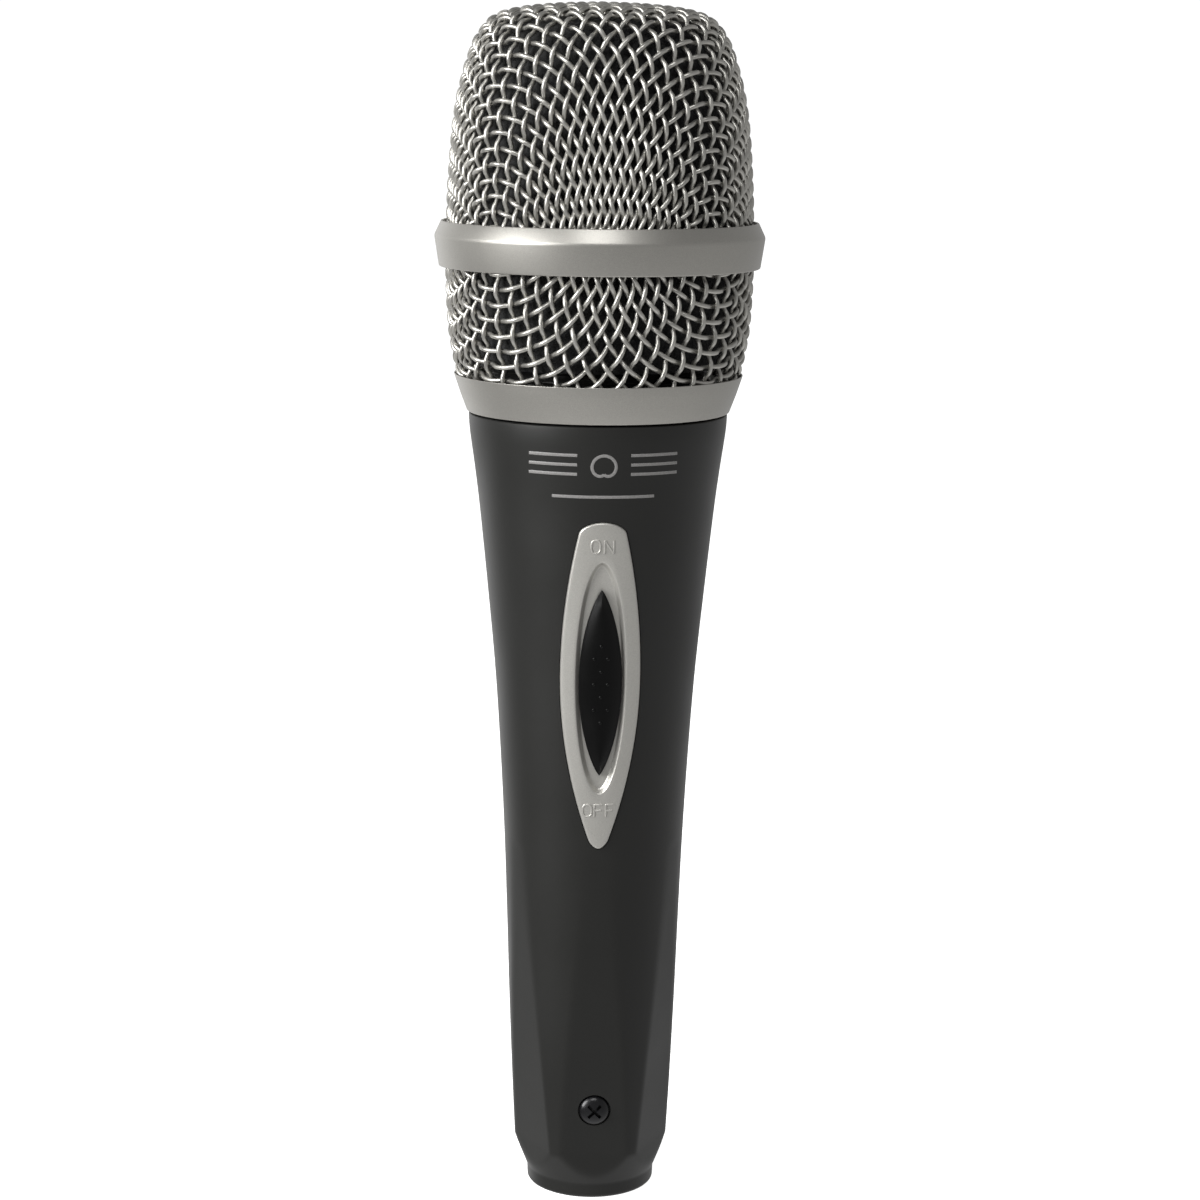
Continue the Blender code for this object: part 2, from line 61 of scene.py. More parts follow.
# ------------------------------------------------------------------ shapes shared with the CAD
HANDLE_PROFILE = ((8.0, 12.8), (18.7, 13.3), (32.8, 13.85), (46.8, 14.3), (60.6, 14.8), (74.3, 15.5),
                  (87.8, 16.4), (101.2, 17.65), (114.4, 19.0), (121.0, 19.8), (127.5, 20.7), (130.4, 20.9))
TAIL_RADIUS, TAIL_EDGE = 10.6, 0.7
SOCKET_BORE, SOCKET_DEPTH, WALL = 9.5, 20.5, 2.5
NECK_RADIUS, NECK_BORE = 17.6, 15.4
NECK_TOP = span("handle_shell")[1][2]
FLATS_TOP, FLATS_LENGTH, FLATS_DEPTH, FLATS_POWER = 60.0, 54.0, 0.109, 1.4

UPPER_MESH = ((158.5, 24.7), (166.0, 24.5), (175.4, 23.8), (181.7, 22.8), (187.9, 21.0), (191.0, 19.4),
              (193.2, 17.2), (194.4, 13.5), (195.1, 7.5), (195.4, 0.0))
LOWER_MESH = ((132.6, 0.0), (132.8, 12.0), (133.2, 17.0), (134.2, 20.4), (135.9, 22.6), (138.5, 23.4),
              (143.7, 24.3), (150.1, 24.7), (156.1, 24.8))
MESH_THICKNESS = 1.6
WIRE_RADIUS = 0.38

PLATE_FOOT, PLATE_TOP, PLATE_WIDEST, PLATE_HALF_WIDTH = 61.4, 115.2, 90.0, 6.4
PLATE_BOW_DOWN, PLATE_BOW_UP, PLATE_CAP_DOWN, PLATE_CAP_UP = 0.00651, 0.00483, 1.5, 1.8
PLATE_PROUD, PLATE_SINK = 0.35, 1.2
RECESS_FOOT, RECESS_TOP, RECESS_HALF_WIDTH, RECESS_SINK = 70.7, 108.8, 4.05, 0.55
KNOB_FOOT, KNOB_TOP, KNOB_HALF_WIDTH, KNOB_SINK, KNOB_PROUD = 73.7, 104.3, 3.45, 0.2, 1.1
SLOT_FOOT, SLOT_TOP, SLOT_HALF_WIDTH = 86.5, 92.6, 1.3
SCREW_HEIGHT, SCREW_HEAD = 16.0, 2.45


def smooth_profile(points, per_span=8):
    """Catmull-Rom curve through profile points, as an array of rows."""
    knots = np.array(points, float)
    knots = np.vstack([2 * knots[0] - knots[1], knots, 2 * knots[-1] - knots[-2]])
    rows = []
    for a, b, c, d in zip(knots, knots[1:], knots[2:], knots[3:]):
        for t in np.linspace(0.0, 1.0, per_span, endpoint=False):
            rows.append(0.5 * (2 * b + (c - a) * t + (2 * a - 5 * b + 4 * c - d) * t ** 2
                               + (3 * b - a - 3 * c + d) * t ** 3))
    rows.append(knots[-2])
    return np.array(rows)


HANDLE_CURVE = smooth_profile(HANDLE_PROFILE)


def handle_radius(z):
    return np.interp(z, HANDLE_CURVE[:, 0], HANDLE_CURVE[:, 1])


def flat_distance(z):
    share = np.maximum((FLATS_TOP - z) / FLATS_LENGTH, 0.0)
    return handle_radius(z) * (1.0 - FLATS_DEPTH * share ** FLATS_POWER)


def smooth_min(a, b, soft):
    """The smaller of two lengths, with the corner rounded over a distance."""
    h = np.clip(0.5 + 0.5 * (b - a) / soft, 0.0, 1.0)
    return b * (1 - h) + a * h - soft * h * (1 - h)


def plate_half_width(z, spare=0.0):
    bow = PLATE_BOW_UP if z > PLATE_WIDEST else PLATE_BOW_DOWN
    width = PLATE_HALF_WIDTH - bow * (z - PLATE_WIDEST) ** 2
    into_cap = max((z - (PLATE_TOP - PLATE_CAP_UP)) / PLATE_CAP_UP,
                   ((PLATE_FOOT + PLATE_CAP_DOWN) - z) / PLATE_CAP_DOWN, 0.0)
    return width * math.sqrt(max(1.0 - min(into_cap, 1.0) ** 2, 0.0)) + spare


def oval_half_width(z, foot, top, half_width, power):
    middle, reach = (foot + top) / 2, (top - foot) / 2
    return half_width * max(1.0 - ((z - middle) / reach) ** 2, 0.0) ** power


# ------------------------------------------------------------------ mesh helpers
def make_object(name, vertices, faces, look, body, sharp_degrees=40.0):
    """A named piece from vertices in millimetres, shaded smooth, riding on a body."""
    mesh = bpy.data.meshes.new(name)
    mesh.from_pydata([tuple(v) for v in np.asarray(vertices, float) * MM], [], faces)
    return dress(name, mesh, look, body, sharp_degrees)


def dress(name, mesh, look, body, sharp_degrees=40.0):
    bm = bmesh.new()
    bm.from_mesh(mesh)
    bmesh.ops.remove_doubles(bm, verts=bm.verts, dist=1e-7)
    bmesh.ops.recalc_face_normals(bm, faces=bm.faces)
    bm.to_mesh(mesh)
    bm.free()
    mesh.materials.clear()
    mesh.materials.append(look)
    mesh.shade_smooth()
    mesh.set_sharp_from_angle(angle=math.radians(sharp_degrees))
    piece = bpy.data.objects.new(name, mesh)
    bpy.context.scene.collection.objects.link(piece)
    if body:
        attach(piece, body)
    return piece


def grid_faces(rows, columns, wrap_columns=True, wrap_rows=False, offset=0):
    """Quads over a rows x columns grid of vertices."""
    faces = []
    for i in range(rows if wrap_rows else rows - 1):
        below, above = i * columns, ((i + 1) % rows) * columns
        for j in range(columns if wrap_columns else columns - 1):
            after = (j + 1) % columns
            quad = (below + j, below + after, above + after, above + j)
            faces.append(tuple(offset + corner for corner in quad))
    return faces


def rounded(outline, radii, steps=4):
    """Round the corners of a closed (radius, height) outline; one rounding per corner, 0 keeps it."""
    points = [np.array(p, float) for p in outline]
    result = []
    for i, here in enumerate(points):
        reach = radii[i] if i < len(radii) else 0.0
        before, after = points[i - 1], points[(i + 1) % len(points)]
        if reach <= 0.0:
            result.append(tuple(here))
            continue
        back, on = before - here, after - here
        start = here + back / np.linalg.norm(back) * min(reach, 0.49 * np.linalg.norm(back))
        end = here + on / np.linalg.norm(on) * min(reach, 0.49 * np.linalg.norm(on))
        for t in np.linspace(0.0, 1.0, steps + 1):
            result.append(tuple((1 - t) ** 2 * start + 2 * t * (1 - t) * here + t ** 2 * end))
    return result


def lathe_mesh(name, outline, sides, placed=None):
    """Closed solid from a closed outline of (radius, height) turned about an axis."""
    angles = np.arange(sides) * 2 * math.pi / sides
    vertices = [(max(r, 0.0) * math.cos(a), max(r, 0.0) * math.sin(a), z)
                for r, z in outline for a in angles]
    faces = grid_faces(len(outline), sides, wrap_rows=True)
    mesh = bpy.data.meshes.new(name)
    mesh.from_pydata([tuple(np.array(v) * MM) for v in vertices], [], faces)
    bm = bmesh.new()
    bm.from_mesh(mesh)
    bmesh.ops.remove_doubles(bm, verts=bm.verts, dist=1e-7)
    on_axis = [e for e in bm.edges if all(math.hypot(v.co.x, v.co.y) < 1e-7 for v in e.verts)]
    bmesh.ops.delete(bm, geom=on_axis, context="EDGES")
    if placed is not None:
        bmesh.ops.transform(bm, matrix=placed, verts=bm.verts)
    bm.to_mesh(mesh)
    bm.free()
    return mesh


def lathe(name, outline, sides, look, body, placed=None, sharp_degrees=40.0):
    return dress(name, lathe_mesh(name, outline, sides, placed), look, body, sharp_degrees)


def along_y(x, z):
    """Placement, in metres, whose local +Z runs along world +Y."""
    return Matrix.Translation((x * MM, 0.0, z * MM)) @ Matrix.Rotation(-math.pi / 2, 4, "X")


def carve(piece, tools, operation="DIFFERENCE"):
    """Apply Booleans with tool meshes to a piece and remove the tools."""
    for tool_mesh in tools:
        tool = bpy.data.objects.new("tool", tool_mesh)
        bpy.context.scene.collection.objects.link(tool)
        step = piece.modifiers.new("carve", "BOOLEAN")
        step.object, step.operation, step.solver = tool, operation, "EXACT"
        bpy.context.view_layer.update()
        evaluated = piece.evaluated_get(bpy.context.evaluated_depsgraph_get())
        result = bpy.data.meshes.new_from_object(evaluated)
        piece.modifiers.clear()
        piece.data = result
        bpy.data.objects.remove(tool)
    piece.data.shade_smooth()
    piece.data.set_sharp_from_angle(angle=math.radians(32.0))
    return piece


def box_mesh(low, high, placed=None):
    mesh = bpy.data.meshes.new("box")
    bm = bmesh.new()
    size = [(b - a) * MM for a, b in zip(low, high)]
    centre = [(a + b) / 2 * MM for a, b in zip(low, high)]
    bmesh.ops.create_cube(bm, size=1.0, matrix=Matrix.Translation(centre) @ Matrix.Diagonal((*size, 1.0)))
    if placed is not None:
        bmesh.ops.transform(bm, matrix=placed, verts=bm.verts)
    bm.to_mesh(mesh)
    bm.free()
    return mesh


# ------------------------------------------------------------------ materials
def new_look(name, colour, roughness, metallic=0.0):
    look = bpy.data.materials.new(name)
    look.use_nodes = True
    shader = look.node_tree.nodes["Principled BSDF"]
    shader.inputs["Base Color"].default_value = (*colour, 1.0)
    shader.inputs["Roughness"].default_value = roughness
    shader.inputs["Metallic"].default_value = metallic
    return look, shader


class Nodes:
    """Short names for the nodes that the looks below use."""

    def __init__(self, look):
        self.tree = look.node_tree
        self.place = self.tree.nodes.new("ShaderNodeTexCoord").outputs["Object"]

    def link(self, a, b):
        self.tree.links.new(a, b)

    def stretched(self, scale):
        node = self.tree.nodes.new("ShaderNodeMapping")
        node.inputs["Scale"].default_value = scale
        self.link(self.place, node.inputs["Vector"])
        return node.outputs["Vector"]

    def noise(self, scale, detail=2.0, vector=None, roughness=0.5):
        node = self.tree.nodes.new("ShaderNodeTexNoise")
        node.inputs["Scale"].default_value = scale
        node.inputs["Detail"].default_value = detail
        node.inputs["Roughness"].default_value = roughness
        self.link(self.place if vector is None else vector, node.inputs["Vector"])
        return node.outputs["Fac"]

    def cells(self, scale, vector=None, feature="F1"):
        node = self.tree.nodes.new("ShaderNodeTexVoronoi")
        node.feature = feature
        node.inputs["Scale"].default_value = scale
        self.link(self.place if vector is None else vector, node.inputs["Vector"])
        return node.outputs["Distance"]

    def spread(self, value, low, high, from_low=0.3, from_high=0.7):
        node = self.tree.nodes.new("ShaderNodeMapRange")
        node.inputs["From Min"].default_value = from_low
        node.inputs["From Max"].default_value = from_high
        node.inputs["To Min"].default_value = low
        node.inputs["To Max"].default_value = high
        self.link(value, node.inputs["Value"])
        return node.outputs["Result"]

    def blend_colours(self, value, low, high, from_low=0.3, from_high=0.7):
        node = self.tree.nodes.new("ShaderNodeValToRGB")
        node.color_ramp.elements[0].position = from_low
        node.color_ramp.elements[0].color = (*low, 1.0)
        node.color_ramp.elements[1].position = from_high
        node.color_ramp.elements[1].color = (*high, 1.0)
        self.link(value, node.inputs["Fac"])
        return node.outputs["Color"]

    def bump(self, value, depth_mm, strength=1.0, under=None):
        node = self.tree.nodes.new("ShaderNodeBump")
        node.inputs["Distance"].default_value = depth_mm * MM
        node.inputs["Strength"].default_value = strength
        self.link(value, node.inputs["Height"])
        if under is not None:
            self.link(under, node.inputs["Normal"])
        return node.outputs["Normal"]


def shade(colour, factor):
    return tuple(c * factor for c in colour)


def paint_look(name, colour, roughness, metallic, flake=0.12, grain_mm=0.02, gloss=0.5):
    """Sprayed paint: fine orange peel, metallic flake and slow changes of tone."""
    look, shader = new_look(name, colour, roughness, metallic)
    shader.inputs["Specular IOR Level"].default_value = gloss
    n = Nodes(look)
    tone = n.noise(9000.0, 1.0)
    flaked = n.blend_colours(tone, shade(colour, 1 - flake), shade(colour, 1 + flake))
    n.link(flaked, shader.inputs["Base Color"])
    n.link(n.spread(n.noise(60.0, 4.0), roughness - 0.04, roughness + 0.04), shader.inputs["Roughness"])
    peel = n.bump(n.noise(1600.0, 2.0), grain_mm, 0.25)
    n.link(n.bump(n.noise(6000.0, 1.0), grain_mm / 2, 0.2, peel), shader.inputs["Normal"])
    return look


def metal_look(name, colour, roughness, metallic=1.0, grain=(300.0, 300.0, 300.0), depth_mm=0.01):
    """Plated or drawn metal: faint streaks along the drawing direction and uneven polish."""
    look, shader = new_look(name, colour, roughness, metallic)
    n = Nodes(look)
    streak = n.noise(1.0, 3.0, n.stretched(grain))
    n.link(n.blend_colours(streak, shade(colour, 0.85), shade(colour, 1.12)), shader.inputs["Base Color"])
    n.link(n.spread(streak, roughness - 0.06, roughness + 0.08), shader.inputs["Roughness"])
    n.link(n.bump(streak, depth_mm, 0.3), shader.inputs["Normal"])
    return look


def plastic_look(name, colour, roughness, grain_scale=2500.0, depth_mm=0.01, gloss=0.5):
    """Moulded plastic or rubber: spark-eroded grain and slightly uneven gloss."""
    look, shader = new_look(name, colour, roughness)
    shader.inputs["Specular IOR Level"].default_value = gloss
    n = Nodes(look)
    grain = n.noise(grain_scale, 3.0)
    n.link(n.blend_colours(grain, shade(colour, 0.8), shade(colour, 1.25)), shader.inputs["Base Color"])
    uneven = n.spread(n.noise(grain_scale / 20, 2.0), roughness - 0.05, roughness + 0.05)
    n.link(uneven, shader.inputs["Roughness"])
    n.link(n.bump(grain, depth_mm, 0.5), shader.inputs["Normal"])
    return look


def foam_look(name, colour):
    """Open-cell foam: a web of pores in two sizes, with painted shade in the pores and a lighter web between
    them.
    """
    look, shader = new_look(name, colour, 0.95)
    n = Nodes(look)
    pores = n.cells(1500.0)
    # painted shade: the colour drops to a quarter in the pore hollows and rises on the web between them
    tone = n.blend_colours(pores, shade(colour, 0.25), shade(colour, 1.6), 0.1, 0.6)
    n.link(tone, shader.inputs["Base Color"])
    deep = n.bump(pores, 0.25, 0.9)
    n.link(n.bump(n.cells(4000.0), 0.08, 0.7, deep), shader.inputs["Normal"])
    return look


def felt_look(name, colour):
    look, shader = new_look(name, colour, 0.95)
    n = Nodes(look)
    fibre = n.noise(4000.0, 6.0, roughness=0.8)
    n.link(n.blend_colours(fibre, shade(colour, 0.6), shade(colour, 1.5)), shader.inputs["Base Color"])
    n.link(n.bump(fibre, 0.1, 0.8), shader.inputs["Normal"])
    return look


def wound_look(name, colour):
    """Enamelled copper wound in fine turns round the Z axis, with painted shade in the grooves between turns
    and a painted highlight on their crests.
    """
    look, shader = new_look(name, colour, 0.3, 0.9)
    n = Nodes(look)
    wave = n.tree.nodes.new("ShaderNodeTexWave")
    wave.bands_direction = "Z"
    wave.inputs["Scale"].default_value = 2500.0
    n.link(n.place, wave.inputs["Vector"])
    # painted shade and highlight: darker in the grooves between turns, lighter on the crests of the turns
    turns = n.blend_colours(wave.outputs["Fac"], shade(colour, 0.5), shade(colour, 1.2))
    n.link(turns, shader.inputs["Base Color"])
    n.link(n.bump(wave.outputs["Fac"], 0.05, 0.8), shader.inputs["Normal"])
    return look


charcoal = paint_look("charcoal_paint", (0.0115, 0.0115, 0.0105), 0.42, 0.0, gloss=0.35)
silver = paint_look("silver_paint", (0.35, 0.34, 0.315), 0.38, 0.75, 0.10, 0.012)
plate_silver = paint_look("switch_silver", (0.46, 0.45, 0.42), 0.40, 0.6, 0.10, 0.012)
wire_look = metal_look("plated_wire", (0.44, 0.43, 0.40), 0.38, 0.85, (500.0, 500.0, 500.0), 0.002)
foam = foam_look("black_foam", (0.006, 0.006, 0.006))
knob_black = plastic_look("knob_plastic", (0.0016, 0.0016, 0.0016), 0.36, 3000.0, 0.008, gloss=0.16)
black_plastic = plastic_look("black_plastic", (0.008, 0.008, 0.008), 0.42)
white_plastic = plastic_look("natural_nylon", (0.55, 0.55, 0.5), 0.5)
rubber = plastic_look("black_rubber", (0.010, 0.010, 0.010), 0.75, 1800.0, 0.02)
black_steel = metal_look("blackened_screw", (0.006, 0.006, 0.007), 0.28, 0.2, (500.0, 500.0, 500.0), 0.006)
steel = metal_look("zinc_steel", (0.45, 0.46, 0.47), 0.34, 1.0, (120.0, 120.0, 900.0))
brass = metal_look("tinned_brass", (0.60, 0.50, 0.30), 0.32, 1.0, (200.0, 200.0, 900.0))
nickel = metal_look("bright_nickel", (0.62, 0.59, 0.52), 0.18, 1.0, (700.0, 700.0, 60.0), 0.004)
iron = metal_look("plated_iron", (0.34, 0.34, 0.34), 0.4, 0.9, (400.0, 400.0, 400.0))
ferrite = plastic_look("magnet_ferrite", (0.05, 0.05, 0.052), 0.55, 1500.0, 0.02)
phenolic = plastic_look("phenolic_board", (0.20, 0.09, 0.03), 0.55, 1200.0)
felt = felt_look("grey_felt", (0.11, 0.11, 0.11))
film = plastic_look("clear_film", (0.45, 0.45, 0.43), 0.16, 800.0, 0.004)
copper = wound_look("copper_coil", (0.6, 0.22, 0.08))
ink = plastic_look("silver_ink", (0.20, 0.195, 0.19), 0.45, 6000.0, 0.004)
leads = {"lead_capsule_hot": (0.35, 0.02, 0.02), "lead_capsule_cold": (0.02, 0.2, 0.05),
         "lead_switch_hot": (0.5, 0.35, 0.02), "lead_ground": (0.01, 0.01, 0.01)}
lead_looks = {node: plastic_look(node + "_jacket", colour, 0.45, 1500.0) for node, colour in leads.items()}


# ------------------------------------------------------------------ woven wire of the head
class WireSurface:
    """Middle surface of the woven wire: turned, from its apex outward."""

    def __init__(self, profile, outward):
        curve = smooth_profile(profile, 20)
        if curve[0, 1] > curve[-1, 1]:
            curve = curve[::-1]
        along = np.gradient(curve, axis=0)
        along /= np.linalg.norm(along, axis=1)[:, None]
        normal = outward * np.stack([along[:, 1], -along[:, 0]], axis=1)
        middle = curve - normal * MESH_THICKNESS / 2
        middle[:, 1] = np.maximum(middle[:, 1], 0.0)
        beyond = middle[-1] + (middle[-1] - middle[-2]) / np.linalg.norm(middle[-1] - middle[-2]) * 30.0
        self.middle = np.vstack([middle, beyond])
        self.normal = np.vstack([normal, normal[-1]])
        steps = np.linalg.norm(np.diff(self.middle, axis=0), axis=1)
        self.run = np.concatenate([[0.0], np.cumsum(steps)])

    def at(self, run, angle):
        z = np.interp(run, self.run, self.middle[:, 0])
        r = np.interp(run, self.run, self.middle[:, 1])
        return np.array([r * math.cos(angle), r * math.sin(angle), z])

    def project(self, points):
        """Nearest surface points and their outward normals."""
        points = np.atleast_2d(points)
        radius = np.hypot(points[:, 0], points[:, 1])
        flat = np.stack([points[:, 2], radius], axis=1)
        start, step = self.middle[:-1], np.diff(self.middle, axis=0)
        share = ((flat[:, None] - start) * step).sum(2) / np.maximum((step ** 2).sum(1), 1e-12)
        share = np.clip(share, 0.0, 1.0)
        foot = start + share[..., None] * step
        best = ((foot - flat[:, None]) ** 2).sum(2).argmin(1)
        rows = np.arange(len(points))
        foot, share = foot[rows, best], share[rows, best][:, None]
        normal = self.normal[best] * (1 - share) + self.normal[best + 1] * share
        normal /= np.linalg.norm(normal, axis=1)[:, None]
        outward = points[:, :2] / np.maximum(radius, 1e-9)[:, None]
        place = np.column_stack([outward * foot[:, 1:], foot[:, 0]])
        return place, np.column_stack([outward * normal[:, 1:], normal[:, 0]])


WIRE_PITCH = 2.4                # distance between neighbouring wires of a family
NET_WIRES = 28                  # wires of a family on each side of the apex
# The sheet starts to shear at this run from the apex, over this run, with this power.
SHEAR_START, SHEAR_RUN, SHEAR_POWER = 5.0, 25.0, 2.0
# Wires spread out near a square column: how much, and over what share of the quarter.
SQUARE_GAIN, SQUARE_REACH = 0.2, 0.3
# Wires crowd as they become tangent to the level: their share, and how late it sets in.
TANGENT_SHARE, TANGENT_POWER = 0.25, 6.0


def wires_round(share, shear):
    """Place of a wire between two square columns, from its number's share of all wires at that level."""
    share = np.clip(share, 0.0, 1.0)
    flat = 2 / math.pi * np.arcsin(share)
    drawn = ((1 - SQUARE_GAIN - TANGENT_SHARE) * share + SQUARE_GAIN * (1 - np.exp(-share / SQUARE_REACH))
             + TANGENT_SHARE * (1 - np.sqrt(1 - share ** TANGENT_POWER)))
    drawn /= 1 - SQUARE_GAIN * math.exp(-1 / SQUARE_REACH)
    return flat * (1 - shear) + drawn * shear


def weave_net(surface, reach, turn_degrees, hidden):
    """Crossings of a square-woven sheet drawn over the surface, by wire numbers (i, j).

    The sheet stays square along four columns and shears into narrow diamonds between them.
    """
    i, j = np.meshgrid(np.arange(reach, dtype=float), np.arange(reach, dtype=float), indexing="ij")
    low, high = np.maximum(i, j) * WIRE_PITCH + 1e-6, (i + j) * WIRE_PITCH * 1.2 + 1e-5

    def places(run):
        shear = 1 - np.exp(-(np.maximum(run - SHEAR_START, 0.0) / SHEAR_RUN) ** SHEAR_POWER)
        return wires_round(i * WIRE_PITCH / run, shear), wires_round(j * WIRE_PITCH / run, shear)

    for _ in range(40):
        middle = (low + high) / 2
        inside = sum(places(middle)) > 1
        low, high = np.where(inside, middle, low), np.where(inside, high, middle)
    run = np.where((i == 0) | (j == 0), np.maximum(i, j) * WIRE_PITCH, low)
    share = np.where(i == 0, 1.0, np.where(j == 0, 0.0, places(low)[1]))
    net = {}
    for a in range(reach):
        for b in range(reach):
            angle = math.radians(-135.0 + turn_degrees + 90.0 * share[a, b])
            x, y, z = surface.at(run[a, b] + hidden, angle)
            for key, where in (((a, b), (x, y, z)), ((-b, a), (-y, x, z)), ((-a, -b), (-x, -y, z)),
                               ((b, -a), (y, -x, z))):
                net.setdefault(key, np.array(where))
    return net


def wire_runs(net, family):
    """Each wire of a family as its crossings, in order, with the sign of its first one."""
    lines = {}
    for key, place in net.items():
        lines.setdefault(key[1 - family], {})[key[family]] = place
    for number, nodes in sorted(lines.items()):
        run = []
        for k in range(min(nodes), max(nodes) + 2):
            if k in nodes:
                run.append(k)
                continue
            if len(run) > 1:
                yield [nodes[m] for m in run], (-1) ** (run[0] + number + family)
            run = []


def tube(centres, normals, radius, sides):
    """Rings of a round wire whose first point looks along the surface normal."""
    along = np.gradient(centres, axis=0)
    along /= np.linalg.norm(along, axis=1)[:, None]
    across = np.cross(along, normals)
    across /= np.linalg.norm(across, axis=1)[:, None]
    up = np.cross(across, along)
    angles = np.arange(sides) * 2 * math.pi / sides
    return (centres[:, None] + radius * (np.cos(angles)[None, :, None] * up[:, None]
                                         + np.sin(angles)[None, :, None] * across[:, None]))


def woven_piece(name, surface, turn_degrees, hidden, low, high, replaced):
    """All wires of one pressed cup between two heights, over and under each other.

    The weave is turned from the switch, and its apex is a hidden run before the surface's own.
    """
    sides, per_pitch, lift = 8, 6, WIRE_RADIUS + 0.01
    net = weave_net(surface, NET_WIRES, turn_degrees, hidden)
    vertices, faces = [], []
    for family in (0, 1):
        for nodes, sign in wire_runs(net, family):
            curve = smooth_profile(nodes, per_pitch)
            curve, normals = surface.project(curve)
            phase = np.arange(len(curve)) / per_pitch
            wave = sign * np.sin(math.pi / 2 * np.cos(math.pi * phase))
            curve = curve + normals * (lift * wave)[:, None]
            kept = (curve[:, 2] > low) & (curve[:, 2] < high)
            edges = np.flatnonzero(np.diff(np.concatenate([[0], kept.astype(int), [0]])))
            for start, end in zip(edges[::2], edges[1::2]):
                if end - start < 3:
                    continue
                rings = tube(curve[start:end], normals[start:end], WIRE_RADIUS, sides)
                offset = len(vertices)
                vertices.extend(rings.reshape(-1, 3))
                faces.extend(grid_faces(len(rings), sides, offset=offset))
                faces.append(tuple(range(offset, offset + sides))[::-1])
                last = offset + (len(rings) - 1) * sides
                faces.append(tuple(range(last, last + sides)))
    piece = make_object(name, vertices, faces, wire_look, "head", 60.0)
    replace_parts(piece, replaced)
    return piece


woven_piece("woven_dome", WireSurface(UPPER_MESH, 1.0), -0.5, 0.0, 158.6, 250.0, "grille_mesh_upper")
woven_piece("woven_cup", WireSurface(LOWER_MESH, -1.0), 1.0, 4.0, 135.7, 156.0, "grille_mesh_lower")


# ------------------------------------------------------------------ band, collar, seal and foam
BAND_OUTLINE = ((25.1, 153.8), (25.75, 153.8), (26.5, 158.7), (25.4, 161.0), (25.1, 161.0), (25.1, 158.2),
                (23.2, 158.1), (23.2, 156.5), (25.1, 156.4))
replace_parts(lathe("head_band", rounded(BAND_OUTLINE, (0, 0.25, 0.35, 0.12, 0.1)), 192, silver, "head"),
            "grille_band")

COLLAR_OUTLINE = ((20.1, 130.7), (21.2, 130.7), (22.3, 133.6), (23.3, 136.7), (23.05, 136.7), (22.95, 135.6),
                  (18.0, 135.6), (18.0, 132.1), (20.1, 132.1))
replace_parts(lathe("head_collar", rounded(COLLAR_OUTLINE, (0, 0.2, 1.2, 0.12, 0.1)), 192, silver, "head"),
            "grille_collar")

SEAL_OUTLINE = ((17.95, 130.7), (19.8, 130.7), (19.8, 131.8), (17.95, 131.8))
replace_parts(lathe("rubber_seal", rounded(SEAL_OUTLINE, (0.3, 0.3, 0.3, 0.3)), 128, rubber, "seal"),
            "neck_seal")


def inset(curve, distance):
    """Move a (height, radius) curve towards the inside of the head."""
    along = np.gradient(curve, axis=0)
    along /= np.linalg.norm(along, axis=1)[:, None]
    moved = curve + np.stack([along[:, 1], -along[:, 0]], axis=1) * distance
    moved[:, 1] = np.maximum(moved[:, 1], 0.0)
    return moved


def make_foam():
    foot, thickness = 138.5, 3.2
    joined = smooth_profile(tuple(p for p in LOWER_MESH + UPPER_MESH if p[0] >= foot), 6)
    outer = inset(joined, MESH_THICKNESS + 0.5)
    inner = inset(joined, MESH_THICKNESS + 0.5 + thickness)
    outer[0, 0] = inner[0, 0] = foot
    outer[-1, 1] = inner[-1, 1] = 0.0
    outline = [(r, z) for z, r in outer] + [(r, z) for z, r in inner[::-1] if z >= foot]
    piece = lathe("foam_liner", outline, 160, foam, "windscreen")
    ripple = np.random.default_rng(7)
    waves = ripple.normal(size=(24, 3)) * 1400.0
    phases = ripple.uniform(0, 2 * math.pi, 24)
    for vertex in piece.data.vertices:
        place = np.array(vertex.co)
        height = np.sin(waves @ place + phases).mean() * 0.35 * MM
        vertex.co -= vertex.normal * (height + 0.12 * MM)
    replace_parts(piece, "windscreen_foam")


make_foam()


# ------------------------------------------------------------------ pieces on the handle's round front
def on_front(x, z, offset):
    """Point on the handle's front at a distance above its round surface."""
    radius = handle_radius(z) + offset
    return (x, -math.sqrt(radius ** 2 - x ** 2), z)


def leaf_loop(foot, top, half_width, count=192, flow=1.0):
    """Points (x, z) round a leaf, closer together at its ends."""
    middle, reach = (foot + top) / 2, (top - foot) / 2
    loop = []
    for k in range(count):
        angle = 2 * math.pi * k / count
        z = middle - reach * math.cos(angle)
        loop.append((math.copysign(half_width(z) * flow, math.sin(angle)), z))
    return np.array(loop)


def inset_loop(loop, distance):
    """Move a loop of (x, z) points inward by a distance."""
    along = np.roll(loop, -1, axis=0) - np.roll(loop, 1, axis=0)
    along /= np.linalg.norm(along, axis=1)[:, None]
    inward = np.stack([-along[:, 1], along[:, 0]], axis=1)
    if ((loop.mean(axis=0) - loop) * inward).sum() < 0:
        inward = -inward
    return loop + inward * distance


def mix(a, b, share):
    return a * (1 - share) + b * share


def loops_body(name, loops, look, body, closed, sharp_degrees=35.0):
    """Piece from (loop, offset) pairs; offset is a number or one per point. Open ends lie on a line."""
    vertices = []
    for loop, offset in loops:
        offsets = np.broadcast_to(offset, len(loop))
        vertices.extend(on_front(x, z, o) for (x, z), o in zip(loop, offsets))
    faces = grid_faces(len(loops), len(loops[0][0]), wrap_rows=closed)
    return make_object(name, vertices, faces, look, body, sharp_degrees)


def spine(loop, keep=0.86):
    """The loop flattened onto its own centre line."""
    middle = (loop[:, 1].min() + loop[:, 1].max()) / 2
    return np.stack([np.zeros(len(loop)), middle + (loop[:, 1] - middle) * keep], axis=1)


